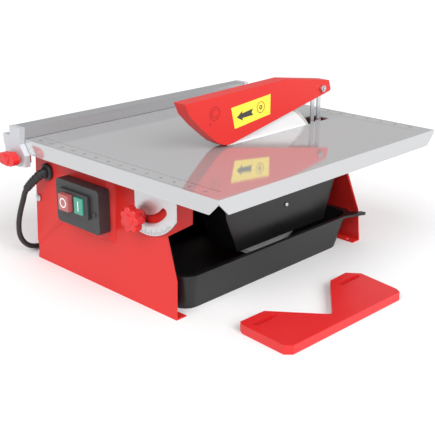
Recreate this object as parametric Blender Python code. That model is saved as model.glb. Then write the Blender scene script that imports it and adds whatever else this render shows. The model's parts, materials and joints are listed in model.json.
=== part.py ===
"""Table-top tile cutter with a tilting steel table, built as an assembly of separate pieces.

Frame: metres, +Z up. The origin is on the bench under the middle of the table.
+X runs to the right along the switch side, +Y runs to the back.
"""
import math

import bmesh
import bpy
from mathutils import Matrix, Vector

# ---------------------------------------------------------------- driving dimensions
GAP = 0.0003                    # air between two pieces that touch in the real machine

TABLE_X = 0.330
TABLE_Y = 0.360
TABLE_TOP = 0.155
TABLE_FLANGE = 0.0168
TABLE_SHEET = 0.0015
SLOT_X = (0.017, 0.043)
SLOT_Y = (-0.043, 0.140)

TILT_X = 0.037                  # tilt axis, parallel to Y
TILT_Z = 0.138
TILT_BOLT_RADIUS = 0.038
TILT_BOLT_ANGLE = math.radians(-9.5)    # from straight below the tilt axis, to the right
TILT_SLOT_END = math.radians(49.0)
TILT_BOLT_END = 0.1722
TILT_KNOB_BACK = 0.1640
TILT_KNOB_FRONT = 0.1747
TILT_KNOB_RADIUS = 0.0140
QUADRANT_RADIUS = 0.056
QUADRANT_X = (0.021, 0.083)
QUADRANT_Y = 0.1572
QUADRANT_SHEET = 0.002

PANEL_SHEET = 0.0012
PANEL_LEFT = -0.161
PANEL_LEFT_LEAN = 0.0105        # how far the left side leans in over LEAN_HEIGHT
PANEL_RIGHT = 0.084
PANEL_FOOT_Y = 0.159            # half depth of the base at the bench
PANEL_LEAN = 0.009              # how far the panel leans in over LEAN_HEIGHT
LEAN_HEIGHT = 0.138
PANEL_TOP = 0.152
PAD_Y = 0.160
PAD_RIGHT = -0.022
FOOT_DEPTH = 0.014

BLADE_RADIUS = 0.090
BLADE_THICKNESS = 0.0022
BLADE_Y = 0.034
BLADE_Z = 0.098
ARBOR_RADIUS = 0.006
MOTOR_RADIUS = 0.046
MOTOR_LEFT = -0.115
MOTOR_RIGHT = 0.0055
CAPACITOR_AT = (0.128, 0.116)     # Y and Z of its axis, beside the motor
CAPACITOR_RADIUS = 0.0130

FENCE_RIGHT = -0.139
FENCE_WIDTH = 0.0185
FENCE_TOP = 0.169
BRACKET_Y = 0.1872
FENCE_KNOB_X = -0.150
FENCE_KNOB_Z = 0.1335

GUARD_WIDTH = 0.017
GUARD_SHEET = 0.0015
GUARD_HINGE_Y = 0.118
GUARD_HINGE_Z = 0.196
KNIFE_THICKNESS = 0.0018

SWITCH_X = (-0.092, -0.017)
SWITCH_Z = (0.070, 0.120)
SWITCH_FRONT = -0.175
SWITCH_HOLE_X = (-0.0805, -0.0340)
SWITCH_HOLE_Z = (0.0867, 0.1093)
BEZEL_FRONT = -0.1785
BUTTON_GAP = 0.0004
BUTTON_TRAVEL = 0.003
WELL_FLOOR = -0.166

TRAY_HEIGHT = 0.040
TRAY_WALL = 0.002

CORD_DIAMETER = 0.0065
CORD_RADIUS = CORD_DIAMETER / 2
GLAND_AT = Vector((-0.1275, -PAD_Y, 0.1155))
RELIEF_TIP = Vector((-0.1495, -0.1763, 0.0935))
COIL_CENTRE = (-0.232, 0.030)
COIL_RADII = (0.0340, 0.0405)   # centre lines of the two columns of turns
COIL_LAYERS = 3

PLUG_AT = Vector((-0.1890, 0.1257, 0.0084))
PLUG_TILT = math.radians(15)
PLUG_LENGTH = 0.046

GUIDE_THICKNESS = 0.010

# ---------------------------------------------------------------- materials


def finish(name, colour, roughness, metallic=0.0):
    made = bpy.data.materials.new(name)
    made.use_nodes = True
    shader = made.node_tree.nodes["Principled BSDF"]
    shader.inputs["Base Color"].default_value = (*colour, 1.0)
    shader.inputs["Roughness"].default_value = roughness
    shader.inputs["Metallic"].default_value = metallic
    return made


COLOURS = {
    "red_paint": ((0.78, 0.045, 0.035), 0.35, 0.0),
    "red_plastic": ((0.80, 0.050, 0.045), 0.40, 0.0),
    "table_steel": ((0.50, 0.51, 0.52), 0.22, 1.0),
    "zinc_steel": ((0.62, 0.63, 0.64), 0.35, 1.0),
    "fence_aluminium": ((0.66, 0.67, 0.68), 0.38, 1.0),
    "blade_steel": ((0.72, 0.72, 0.74), 0.25, 1.0),
    "black_plastic": ((0.035, 0.036, 0.038), 0.45, 0.0),
    "tray_plastic": ((0.055, 0.055, 0.056), 0.50, 0.0),
    "cord_rubber": ((0.020, 0.020, 0.021), 0.55, 0.0),
    "green_button": ((0.05, 0.36, 0.24), 0.35, 0.0),
    "red_button": ((0.55, 0.05, 0.06), 0.35, 0.0),
    "motor_paint": ((0.10, 0.10, 0.11), 0.45, 0.0),
    "copper_winding": ((0.55, 0.24, 0.12), 0.40, 1.0),
    "capacitor_white": ((0.75, 0.75, 0.73), 0.45, 0.0),
}

# ---------------------------------------------------------------- shapes
# A shape is a pair of lists, vertices and faces. Several shapes make one mesh.


def place(axis, along, first, second):
    """A point from its distance along an axis and its two coordinates across that axis."""
    if axis == "X":
        return (along, first, second)
    if axis == "Y":
        return (first, along, second)
    return (first, second, along)


def prism(outline, axis, low, high):
    count = len(outline)
    verts = [place(axis, low, *point) for point in outline]
    verts += [place(axis, high, *point) for point in outline]
    faces = [tuple(range(count)), tuple(range(2 * count - 1, count - 1, -1))]
    for i in range(count):
        j = (i + 1) % count
        faces.append((i, j, count + j, count + i))
    return verts, faces


def box(low, high):
    corners = [(low[0], low[1]), (high[0], low[1]), (high[0], high[1]), (low[0], high[1])]
    return prism(corners, "Z", low[2], high[2])


def circle(centre, radius, count, start=0.0):
    steps = [start + 2 * math.pi * i / count for i in range(count)]
    return [(centre[0] + radius * math.cos(a), centre[1] + radius * math.sin(a)) for a in steps]


def arc(centre, radius, start, end, count):
    """Points on an arc, both ends included; angles in degrees, from the first axis."""
    points = []
    for i in range(count):
        angle = math.radians(start + (end - start) * i / (count - 1))
        points.append((centre[0] + radius * math.cos(angle), centre[1] + radius * math.sin(angle)))
    return points


def rounded_rectangle(low, high, radius, count=4):
    corners = (
        ((high[0] - radius, high[1] - radius), 0),
        ((low[0] + radius, high[1] - radius), 90),
        ((low[0] + radius, low[1] + radius), 180),
        ((high[0] - radius, low[1] + radius), 270),
    )
    points = []
    for centre, start in corners:
        points += arc(centre, radius, start, start + 90, count)
    return points


def cylinder(axis, centre, radius, low, high, count=24):
    return prism(circle(centre, radius, count), axis, low, high)


def loft(rings, closed=False):
    """Skin over rings of equal length; a ring of one point is a pole."""
    verts, starts, faces = [], [], []
    for ring in rings:
        starts.append((len(verts), len(ring)))
        verts += ring
    pairs = list(zip(starts, starts[1:]))
    if closed:
        pairs.append((starts[-1], starts[0]))
    for (a, a_count), (b, b_count) in pairs:
        if a_count == b_count == 1:
            continue
        for i in range(max(a_count, b_count)):
            j = (i + 1) % max(a_count, b_count)
            if a_count == 1:
                faces.append((a, b + j, b + i))
            elif b_count == 1:
                faces.append((a + i, a + j, b))
            else:
                faces.append((a + i, a + j, b + j, b + i))
    if not closed:
        for start, count in (starts[0], starts[-1]):
            if count > 1:
                faces.append(tuple(range(start, start + count)))
    return verts, faces


def turned(axis, centre, profile, count=24, closed=False):
    """A turned shape: the profile's points are (distance along the axis, radius)."""
    rings = []
    for along, radius in profile:
        if radius == 0.0:
            rings.append([place(axis, along, *centre)])
        else:
            rings.append([place(axis, along, *point) for point in circle(centre, radius, count)])
    return loft(rings, closed)


def ring(axis, centre, inner, outer, low, high, count=32):
    return turned(axis, centre, [(low, inner), (low, outer), (high, outer), (high, inner)], count, True)


def mirrored_y(shape):
    verts, faces = shape
    return [(x, -y, z) for x, y, z in verts], faces


# ---------------------------------------------------------------- objects

SMOOTH_ANGLE = math.radians(35)


def mesh_object(name, shapes, smooth=False):
    mesh = bpy.data.meshes.new(name)
    model = bmesh.new()
    for verts, faces in shapes:
        made = [model.verts.new(v) for v in verts]
        for face in faces:
            model.faces.new([made[i] for i in face])
    bmesh.ops.recalc_face_normals(model, faces=model.faces)
    model.to_mesh(mesh)
    model.free()
    if smooth:
        mesh.shade_smooth()
        mesh.set_sharp_from_angle(angle=SMOOTH_ANGLE)
    made = bpy.data.objects.new(name, mesh)
    bpy.context.scene.collection.objects.link(made)
    return made


def set_origin(obj, origin):
    """Put an object's origin on its joint axis without moving its shape."""
    obj.data.transform(Matrix.Translation(-Vector(origin)))
    obj.location = origin


def piece(name, slot, shapes, origin=None, smooth=False):
    made = mesh_object(name, shapes, smooth)
    made.data.materials.append(MATERIALS[slot])
    if origin is not None:
        set_origin(made, origin)
    return made


def helper(name, shapes):
    made = mesh_object(name, shapes)
    made.display_type = "WIRE"
    made.hide_render = True
    return made


def combine(obj, shapes, operation, label):
    tool = helper(obj.name + "_" + label, shapes)
    change = obj.modifiers.new(label, "BOOLEAN")
    change.operation = operation
    change.solver = "EXACT"
    change.object = tool
    return tool


def cut(obj, shapes, label="cut"):
    return combine(obj, shapes, "DIFFERENCE", label)


def add(obj, shapes, label="add"):
    return combine(obj, shapes, "UNION", label)


def thicken(obj, thickness, outward):
    """Give folded sheet its thickness on the inner side; outward is the first face's outer side."""
    if obj.data.polygons[0].normal.dot(Vector(outward)) < 0:
        obj.data.flip_normals()
    change = obj.modifiers.new("thickness", "SOLIDIFY")
    change.thickness = thickness
    change.offset = -1.0
    change.use_even_offset = True


def screw(name, slot, axis, at, outward, head=0.0045, height=0.0025, shank=0.002, length=0.006):
    """A pan-head screw. at is under its head on the piece it holds, outward is +1 or -1."""
    index = "XYZ".index(axis)
    centre = tuple(value for i, value in enumerate(at) if i != index)
    foot = at[index] + outward * GAP
    profile = [
        (foot - outward * length, 0.0),
        (foot - outward * length, shank),
        (foot, shank),
        (foot, head),
        (foot + outward * height * 0.6, head),
        (foot + outward * height, head * 0.6),
        (foot + outward * height, 0.0),
    ]
    return piece(name, slot, [turned(axis, centre, profile, 16)], smooth=True)


# ---------------------------------------------------------------- base


def lean(z):
    """Half depth of the outside of the leaning front and rear panels at height z."""
    return PANEL_FOOT_Y - PANEL_LEAN * z / LEAN_HEIGHT


def left_side(z):
    """X of the outside of the leaning left side at height z."""
    return PANEL_LEFT + PANEL_LEFT_LEAN * z / LEAN_HEIGHT


PANEL_EDGE = [(PANEL_RIGHT, 0.0), (0.082, 0.042), (0.066, 0.086), (0.064, 0.130), (0.043, PANEL_TOP)]
RETURN_DEPTH = 0.036


def sheet_panel(name, side, padded):
    """A folded panel: leaning face, foot flange, return flange and, in front, the switch pad."""
    verts, faces = [], []

    def point(x, y, z):
        verts.append((x, side * y, z))
        return len(verts) - 1

    edge = [point(x, lean(z), z) for x, z in PANEL_EDGE]
    left_foot = point(PANEL_LEFT, lean(0.0), 0.0)
    if padded:
        pad_xz = [(left_side(0.024), 0.024), (-0.114, 0.060), (PAD_RIGHT, 0.062), (PAD_RIGHT, PANEL_TOP)]
        fold_xz = [(left_side(0.014), 0.014), (-0.112, 0.055), (-0.016, 0.056), (-0.016, PANEL_TOP)]
        pad = [point(x, PAD_Y, z) for x, z in pad_xz]
        fold = [point(x, lean(z), z) for x, z in fold_xz]
        pad_corner = point(left_side(PANEL_TOP), PAD_Y, PANEL_TOP)
        faces.append([left_foot, *edge, *reversed(fold)])
        faces.append([*pad, pad_corner])
        for i in range(3):
            faces.append([fold[i], fold[i + 1], pad[i + 1], pad[i]])
    else:
        left_top = point(left_side(PANEL_TOP), lean(PANEL_TOP), PANEL_TOP)
        faces.append([left_foot, *edge, left_top])
    inner = PANEL_FOOT_Y - FOOT_DEPTH
    faces.append([edge[0], left_foot, point(PANEL_LEFT, inner, 0.0), point(PANEL_RIGHT, inner, 0.0)])
    low, high = PANEL_EDGE[2], PANEL_EDGE[3]
    back_low = point(low[0], lean(low[1]) - RETURN_DEPTH, low[1] + 0.004)
    back_high = point(high[0], lean(high[1]) - RETURN_DEPTH, high[1] - 0.004)
    faces.append([edge[3], edge[2], back_low, back_high])
    panel = piece(name, "red_paint", [(verts, faces)])
    thicken(panel, PANEL_SHEET, (0, side, 0))
    return panel


def both_sides(shapes):
    return shapes + [mirrored_y(shape) for shape in shapes]


def tilt_bolt_centre():
    return (
        TILT_X + TILT_BOLT_RADIUS * math.sin(TILT_BOLT_ANGLE),
        TILT_Z - TILT_BOLT_RADIUS * math.cos(TILT_BOLT_ANGLE),
    )


def build_panels():
    bolt = tilt_bolt_centre()
    for name, side in (("front_panel", -1), ("rear_panel", 1)):
        panel = sheet_panel(name, side, side < 0)
        through = sorted((side * 0.130, side * 0.170))
        holes = [
            cylinder("Y", bolt, 0.0044, *through, 16),
            cylinder("Y", (TILT_X, TILT_Z), 0.0034, *through, 16),
            cylinder("Z", (0.072, side * 0.151), 0.0025, -0.002, 0.004, 12),
        ]
        if side < 0:
            holes.append(cylinder("Y", (GLAND_AT.x, GLAND_AT.z), 0.0066, *through, 16))
            holes.append(cylinder("Y", (-0.150, 0.079), 0.0025, *through, 12))
            low = (SWITCH_HOLE_X[0] - 0.001, -0.170, SWITCH_HOLE_Z[0] - 0.001)
            high = (SWITCH_HOLE_X[1] + 0.001, -0.140, SWITCH_HOLE_Z[1] + 0.001)
            holes.append(box(low, high))
        else:
            holes.append(cylinder("Y", (-0.150, 0.079), 0.0025, *through, 12))
        cut(panel, holes, "holes")


def build_left_panel():
    """Vented side panel with tabs behind the front and rear panels."""
    inset = 0.0006
    tab = 0.018
    front_pad = PAD_Y - PANEL_SHEET - GAP
    front_low = lean(0.0) - PANEL_SHEET - GAP - 0.0006
    rear = [lean(z) - PANEL_SHEET - GAP for z in (0.040, 0.138)]
    rear_top = lean(0.150) - PANEL_SHEET - GAP
    outline = [
        (-front_low, 0.002), (-front_low, 0.008), (-0.1535, 0.024), (-0.1580, 0.032), (-front_pad, 0.038),
        (-front_pad, 0.048), (-front_pad, 0.142), (-front_pad, 0.150),
        (rear_top, 0.150), (rear[1], 0.138), (rear[0], 0.040), (front_low, 0.002),
    ]
    verts = [(left_side(z) + inset, y, z) for y, z in outline]
    faces = [tuple(range(len(outline)))]
    for first, second in ((5, 6), (9, 10)):
        start = len(verts)
        for y, z in (outline[second], outline[first]):
            verts.append((left_side(z) + inset + tab, y, z))
        faces.append((first, second, start, start + 1))
    panel = piece("left_panel", "red_paint", [(verts, faces)])
    thicken(panel, PANEL_SHEET, (-1, 0, 0))
    vents = []
    for column in (-0.030, 0.034, 0.098):
        for row in range(7):
            z = 0.066 + row * 0.010
            low = (column - 0.024, z - 0.002)
            high = (column + 0.024, z + 0.002)
            slot = rounded_rectangle(low, high, 0.0019, 3)
            vents.append(prism(slot, "X", left_side(z) - 0.004, left_side(z) + 0.006))
    for y in (-0.1590, 0.1538):
        vents.append(cylinder("Y", (-0.150, 0.079), 0.0025, y - 0.004, y + 0.004, 12))
    cut(panel, vents, "vents")
    for label, side, depth in (("front", -1, PAD_Y), ("rear", 1, lean(0.079))):
        screw("panel_screw_" + label, "zinc_steel", "Y", (-0.150, side * depth, 0.079), side)


def build_motor_bridge():
    """Steel strip between the panels that the motor hangs from."""
    end = lean(0.150) - PANEL_SHEET - GAP
    plate = box((-0.034, -end, 0.1462), (0.008, end, 0.1492))
    bridge = piece("motor_bridge", "zinc_steel", [plate])
    tabs = both_sides([box((-0.012, -end, 0.126), (0.008, -end + 0.0025, 0.147))])
    add(bridge, tabs, "tabs")


def build_motor():
    centre = (BLADE_Y, BLADE_Z)
    shell = ring("X", centre, MOTOR_RADIUS - 0.002, MOTOR_RADIUS, MOTOR_LEFT, MOTOR_RIGHT, 40)
    housing = piece("motor_housing", "motor_paint", [shell], smooth=True)
    saddle = box((-0.030, BLADE_Y - 0.020, BLADE_Z + 0.0405), (0.002, BLADE_Y + 0.020, 0.1462 - GAP))
    add(housing, [saddle], "saddle")
    bore = cylinder("X", centre, MOTOR_RADIUS - 0.002, MOTOR_LEFT - 0.01, MOTOR_RIGHT + 0.01, 40)
    cut(housing, [bore], "bore")

    front = [
        (MOTOR_RIGHT - 0.010, 0.0148), (MOTOR_RIGHT - 0.010, 0.0190), (MOTOR_RIGHT + GAP, 0.0190),
        (MOTOR_RIGHT + GAP, MOTOR_RADIUS), (0.0120, MOTOR_RADIUS), (0.0120, 0.0240),
        (0.0156, 0.0240), (0.0156, 0.0090), (MOTOR_RIGHT + 0.004, 0.0090), (MOTOR_RIGHT + 0.004, 0.0148),
    ]
    piece("motor_flange", "fence_aluminium", [turned("X", centre, front, 40, True)], smooth=True)

    end = MOTOR_LEFT - GAP
    cap = [
        (end, MOTOR_RADIUS), (end - 0.006, MOTOR_RADIUS - 0.001), (end - 0.011, 0.036),
        (end - 0.011, 0.0), (end - 0.008, 0.0), (end - 0.008, 0.0148),
        (end, 0.0148), (end, 0.0185), (end - 0.006, 0.0185), (end - 0.006, 0.040), (end, 0.043),
    ]
    end_cap = piece("motor_end_cap", "black_plastic", [turned("X", centre, cap, 40, True)], smooth=True)
    vents = []
    for i in range(12):
        angle = math.radians(30 * i + 15)
        at = (centre[0] + 0.029 * math.cos(angle), centre[1] + 0.029 * math.sin(angle))
        vents.append(cylinder("X", at, 0.0032, end - 0.014, end - 0.003, 8))
    cut(end_cap, vents, "vents")

    piece("stator", "copper_winding", [ring("X", centre, 0.0275, 0.0436, -0.082, -0.026, 32)], smooth=True)
    for name, low in (("bearing_left", end - 0.0075), ("bearing_right", MOTOR_RIGHT - 0.0085)):
        shape = ring("X", centre, ARBOR_RADIUS + GAP, 0.0145, low, low + 0.0095, 24)
        piece(name, "blade_steel", [shape], smooth=True)

    can = cylinder("X", CAPACITOR_AT, CAPACITOR_RADIUS, -0.125, -0.075, 20)
    piece("capacitor", "capacitor_white", [can], smooth=True)
    seat = CAPACITOR_RADIUS + GAP
    band = ring("X", CAPACITOR_AT, seat, seat + 0.0012, -0.106, -0.094, 24)
    clamp = piece("capacitor_clamp", "zinc_steel", [band])
    add(clamp, [box((-0.106, 0.140, 0.110), (-0.094, lean(0.122) - PANEL_SHEET - GAP, 0.122))], "foot")
    cut(clamp, [cylinder("X", CAPACITOR_AT, seat, -0.108, -0.092, 24)], "seat")


def build_arbor():
    """Everything that turns with the blade."""
    centre = (BLADE_Y, BLADE_Z)
    origin = (TILT_X, BLADE_Y, BLADE_Z)
    left = TILT_X - BLADE_THICKNESS / 2
    right = TILT_X + BLADE_THICKNESS / 2
    shaft = [
        (MOTOR_LEFT - 0.006, 0.0), (MOTOR_LEFT - 0.006, ARBOR_RADIUS),
        (right + 0.0165, ARBOR_RADIUS), (right + 0.0165, 0.0),
    ]
    piece("motor_shaft", "blade_steel", [turned("X", centre, shaft, 24)], origin, True)
    clear = ARBOR_RADIUS + GAP
    piece("rotor", "zinc_steel", [ring("X", centre, clear, 0.0268, -0.082, -0.026, 32)], origin, True)
    hub = ring("X", centre, clear, 0.0120, -0.104, -0.090, 24)
    fan = piece("cooling_fan", "black_plastic", [hub], origin)
    blades = []
    for i in range(7):
        turn = Matrix.Rotation(2 * math.pi * i / 7, 4, "X")
        verts, faces = box((-0.103, -0.0009, 0.0100), (-0.092, 0.0009, 0.0400))
        moved = [tuple(turn @ Vector(v) + Vector((0.0, BLADE_Y, BLADE_Z))) for v in verts]
        blades.append((moved, faces))
    add(fan, blades, "blades")
    flange = [
        (left - GAP, clear), (left - GAP, 0.0220), (left - 0.004, 0.0220),
        (left - 0.007, 0.0130), (left - 0.016, 0.0130), (left - 0.016, clear),
    ]
    piece("inner_flange", "zinc_steel", [turned("X", centre, flange, 32, True)], origin, True)
    disc = ring("X", centre, clear, BLADE_RADIUS, left, right, 72)
    piece("blade", "blade_steel", [disc], origin, True)
    outer = [
        (right + GAP, clear), (right + GAP, 0.0220), (right + 0.003, 0.0220),
        (right + 0.006, 0.0150), (right + 0.006, clear),
    ]
    piece("outer_flange", "zinc_steel", [turned("X", centre, outer, 32, True)], origin, True)
    hexagon = prism(circle(centre, 0.0110, 6), "X", right + 0.0064, right + 0.0150)
    nut = piece("arbor_nut", "zinc_steel", [hexagon], origin)
    cut(nut, [cylinder("X", centre, clear, right, right + 0.02, 24)], "bore")


KNIFE_SCREW = (0.1333, 0.1110)      # Y and Z of the screw through the knife's foot
HOUSING_X = (0.016, 0.058)
HOUSING_WALL = 0.002


def housing_outline(inset):
    """Side view of the lower blade housing, in Y and Z."""
    return [
        (-0.064 + inset, 0.120), (-0.059 + inset, 0.078), (-0.040 + inset, 0.034),
        (0.116 - inset, 0.034), (0.134 - inset, 0.079), (0.146 - inset, 0.110), (0.146 - inset, 0.120),
    ]


def build_blade_housing():
    """Plastic shroud round the lower half of the blade, open above and below."""
    shell = piece("blade_housing", "tray_plastic", [prism(housing_outline(0.0), "X", *HOUSING_X)])
    inner = [(y, z) for y, z in housing_outline(HOUSING_WALL)]
    low_y, low_z = inner[2]
    tall = [(inner[0][0], 0.130), *inner[:3], (low_y, low_z - 0.01), (inner[3][0], low_z - 0.01), *inner[3:]]
    tall.append((inner[-1][0], 0.130))
    cut(shell, [prism(tall, "X", HOUSING_X[0] + HOUSING_WALL, HOUSING_X[1] - HOUSING_WALL)], "inside")
    notch = [cylinder("X", (BLADE_Y, BLADE_Z), 0.0250, 0.010, 0.022, 32)]
    cut(shell, notch, "shaft_hole")
    cut(shell, [cylinder("X", (0.043, 0.0705), 0.0022, 0.050, 0.062, 12)], "screw_hole")
    screw("housing_screw", "zinc_steel", "X", (HOUSING_X[1], 0.043, 0.0705), 1, 0.0028, 0.0016, length=0.005)


def build_riving_knife():
    """Splitter plate behind the blade; its two prongs carry the guard."""
    half = 0.009
    top = arc((GUARD_HINGE_Y, 0.1925), half, 0, 180, 11)
    reach = BLADE_RADIUS + 0.0035
    inner = []
    for degrees in (37, 29, 21, 13, 5, 1):
        inner += arc((BLADE_Y, BLADE_Z), reach, degrees, degrees + 0.1, 2)[:1]
    outer = [(0.1380, 0.0996), (0.1380, 0.1180), (0.1340, 0.1380), (GUARD_HINGE_Y + half, 0.1600)]
    outline = [*top, (GUARD_HINGE_Y - half, 0.1600), *inner, *outer]
    low = TILT_X - KNIFE_THICKNESS / 2
    high = TILT_X + KNIFE_THICKNESS / 2
    knife = piece("riving_knife", "blade_steel", [prism(outline, "X", low, high)])
    slot = arc((GUARD_HINGE_Y, 0.1860), 0.0028, 0, 180, 7) + arc((GUARD_HINGE_Y, 0.1560), 0.0028, 180, 360, 7)
    holes = [prism(slot, "X", low - 0.002, high + 0.002)]
    holes.append(cylinder("X", (GUARD_HINGE_Y, GUARD_HINGE_Z), 0.0023, low - 0.002, high + 0.002, 16))
    holes.append(cylinder("X", KNIFE_SCREW, 0.0024, low - 0.002, high + 0.002, 12))
    cut(knife, holes, "holes")
    block = box((HOUSING_X[0] + HOUSING_WALL + GAP, 0.1285, 0.1000), (low - GAP, 0.1380, 0.1240))
    bracket = piece("knife_bracket", "zinc_steel", [block])
    cut(bracket, [cylinder("X", KNIFE_SCREW, 0.0024, 0.024, 0.040, 12)], "hole")
    screw("knife_screw", "zinc_steel", "X", (high, *KNIFE_SCREW), 1, 0.0042, 0.0026, 0.0020, 0.010)



def build_tilt_hardware():
    bolt = tilt_bolt_centre()
    for label, side in (("front", -1), ("rear", 1)):
        inside = side * (lean(bolt[1]) - PANEL_SHEET - 0.0010)
        end = side * TILT_BOLT_END
        profile = [
            (inside - side * 0.004, 0.0), (inside - side * 0.004, 0.0075), (inside, 0.0075),
            (inside, 0.0039), (end, 0.0039), (end, 0.0),
        ]
        piece("tilt_bolt_" + label, "zinc_steel", [turned("Y", bolt, profile, 20)], smooth=True)
        inside = side * (lean(TILT_Z) - PANEL_SHEET - 0.0010)
        face = side * (QUADRANT_Y + GAP)
        profile = [
            (inside - side * 0.003, 0.0), (inside - side * 0.003, 0.0060), (inside, 0.0060),
            (inside, 0.0030), (face, 0.0030), (face, 0.0060),
            (face + side * 0.0015, 0.0058), (face + side * 0.0028, 0.0035), (face + side * 0.0028, 0.0),
        ]
        piece("tilt_pivot_" + label, "zinc_steel", [turned("Y", (TILT_X, TILT_Z), profile, 20)], smooth=True)


# ---------------------------------------------------------------- knobs


def lobed_outline(centre, radius, depth, lobes, count):
    """Round knob outline with evenly spaced finger hollows."""
    points = []
    for i in range(count):
        angle = 2 * math.pi * i / count
        reach = radius - depth * (0.5 - 0.5 * math.cos(lobes * angle)) ** 2
        points.append((centre[0] + reach * math.cos(angle), centre[1] + reach * math.sin(angle)))
    return points


def build_tilt_knob(label, side):
    centre = tilt_bolt_centre()
    back, front = TILT_KNOB_BACK, TILT_KNOB_FRONT
    wide = TILT_KNOB_RADIUS
    narrow = wide - 0.0012
    origin = (centre[0], side * front, centre[1])
    rings = []
    edge = wide - narrow
    for y, reach in ((back, narrow), (back + edge, wide), (front - edge, wide), (front, narrow)):
        outline = lobed_outline(centre, reach, 0.0030, 7, 56)
        rings.append([place("Y", side * y, *point) for point in outline])
    knob = piece("tilt_knob_" + label, "red_plastic", [loft(rings)], origin, True)
    seat = QUADRANT_Y + GAP
    hub = [(back + 0.002, 0.0), (back + 0.002, 0.0075), (seat, 0.0080), (seat, 0.0)]
    add(knob, [turned("Y", centre, [(side * y, reach) for y, reach in hub], 24)], "hub")
    cap = [(front - 0.003, 0.0), (front - 0.003, 0.0066), (front + 0.0010, 0.0064), (front + 0.0016, 0.0)]
    add(knob, [turned("Y", centre, [(side * y, reach) for y, reach in cap], 24)], "cap")
    through = sorted((side * 0.150, side * (TILT_BOLT_END + 0.0003)))
    cut(knob, [cylinder("Y", centre, 0.0042, *through, 20)], "bore")


def build_fence_knob(label, side):
    """Two-winged clamp knob on the fence bracket."""
    centre = (FENCE_KNOB_X, FENCE_KNOB_Z)
    origin = (centre[0], side * 0.196, centre[1])
    wing = []
    count = 40
    for i in range(count):
        angle = 2 * math.pi * i / count
        reach = 0.0075 + 0.0085 * math.cos(angle) ** 4
        wing.append((centre[0] + reach * math.cos(angle), centre[1] + reach * math.sin(angle)))
    wings = prism(wing, "Y", *sorted((side * 0.1915, side * 0.2005)))
    knob = piece("fence_knob_" + label, "red_plastic", [wings], origin)
    hub = [(0.1878, 0.0), (0.1878, 0.0066), (0.2015, 0.0060), (0.2025, 0.0040), (0.2025, 0.0)]
    add(knob, [turned("Y", centre, [(side * y, reach) for y, reach in hub], 20)], "hub")
    cut(knob, [cylinder("Y", centre, 0.0032, *sorted((side * 0.180, side * 0.1985)), 16)], "bore")


# ---------------------------------------------------------------- table and fence


def build_table():
    half_x, half_y = TABLE_X / 2, TABLE_Y / 2
    bottom = TABLE_TOP - TABLE_FLANGE
    table = piece("table_top", "table_steel", [box((-half_x, -half_y, bottom), (half_x, half_y, TABLE_TOP))])
    table_origin = (TILT_X, 0.0, TILT_Z)
    set_origin(table, table_origin)
    wall = TABLE_SHEET
    inside = box(
        (-half_x + wall, -half_y + wall, bottom - 0.01), (half_x - wall, half_y - wall, TABLE_TOP - wall)
    )
    cut(table, [inside], "underside")
    slot_low = (SLOT_X[0], SLOT_Y[0])
    slot_high = (SLOT_X[1], SLOT_Y[1])
    cut(table, [prism(rounded_rectangle(slot_low, slot_high, 0.004, 3), "Z", 0.145, 0.160)], "slot")
    chamfer = TABLE_FLANGE - 0.004
    triangles_x, triangles_y = [], []
    for sign in (-1, 1):
        x = sign * half_x
        outline = [(x + sign * 0.001, bottom + chamfer + 0.001), (x + sign * 0.001, bottom - 0.001)]
        outline.append((x - sign * (chamfer + 0.001), bottom - 0.001))
        triangles_x += both_sides([prism(outline, "Y", -half_y - 0.001, -half_y + wall + 0.0001)])
        y = sign * half_y
        outline = [(y + sign * 0.001, bottom + chamfer + 0.001), (y + sign * 0.001, bottom - 0.001)]
        outline.append((y - sign * (chamfer + 0.001), bottom - 0.001))
        for side in (-1, 1):
            low, high = sorted((side * (half_x + 0.001), side * (half_x - wall - 0.0001)))
            triangles_y.append(prism(outline, "X", low, high))
    cut(table, triangles_x, "corner_front")
    cut(table, triangles_y, "corner_side")


def build_quadrant(label, side):
    """Slotted tilt bracket hanging under the table."""
    pivot = (TILT_X, TILT_Z)
    start = -90 + math.degrees(math.asin((QUADRANT_X[0] - TILT_X) / QUADRANT_RADIUS))
    end = -90 + math.degrees(math.asin((QUADRANT_X[1] - TILT_X) / QUADRANT_RADIUS))
    top = TABLE_TOP - TABLE_SHEET - GAP
    outline = arc(pivot, QUADRANT_RADIUS, start, end, 19)
    outline += [(QUADRANT_X[1], top), (QUADRANT_X[0], top)]
    faces_y = sorted((side * QUADRANT_Y, side * (QUADRANT_Y - QUADRANT_SHEET)))
    origin = (TILT_X, side * QUADRANT_Y, TILT_Z)
    plate = piece("quadrant_" + label, "zinc_steel", [prism(outline, "Y", *faces_y)], origin)
    tab_y = sorted((side * (QUADRANT_Y - QUADRANT_SHEET), side * 0.1750))
    tab = box((QUADRANT_X[0] + 0.004, tab_y[0], top - QUADRANT_SHEET), (QUADRANT_X[1] - 0.004, tab_y[1], top))
    add(plate, [tab], "tab")
    first = -90 + math.degrees(TILT_BOLT_ANGLE)
    last = -90 + math.degrees(TILT_SLOT_END)
    half = 0.0045
    slot = arc(pivot, TILT_BOLT_RADIUS + half, first, last, 13)
    slot += arc(arc(pivot, TILT_BOLT_RADIUS, last, last + 1, 2)[0], half, last, last + 180, 7)[1:-1]
    slot += arc(pivot, TILT_BOLT_RADIUS - half, last, first, 13)
    slot += arc(arc(pivot, TILT_BOLT_RADIUS, first, first + 1, 2)[0], half, first + 180, first + 360, 7)[1:-1]
    through = (faces_y[0] - 0.002, faces_y[1] + 0.002)
    cut(plate, [prism(slot, "Y", *through)], "slot")
    cut(plate, [cylinder("Y", pivot, 0.0033, *through, 20)], "pivot_hole")


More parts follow.
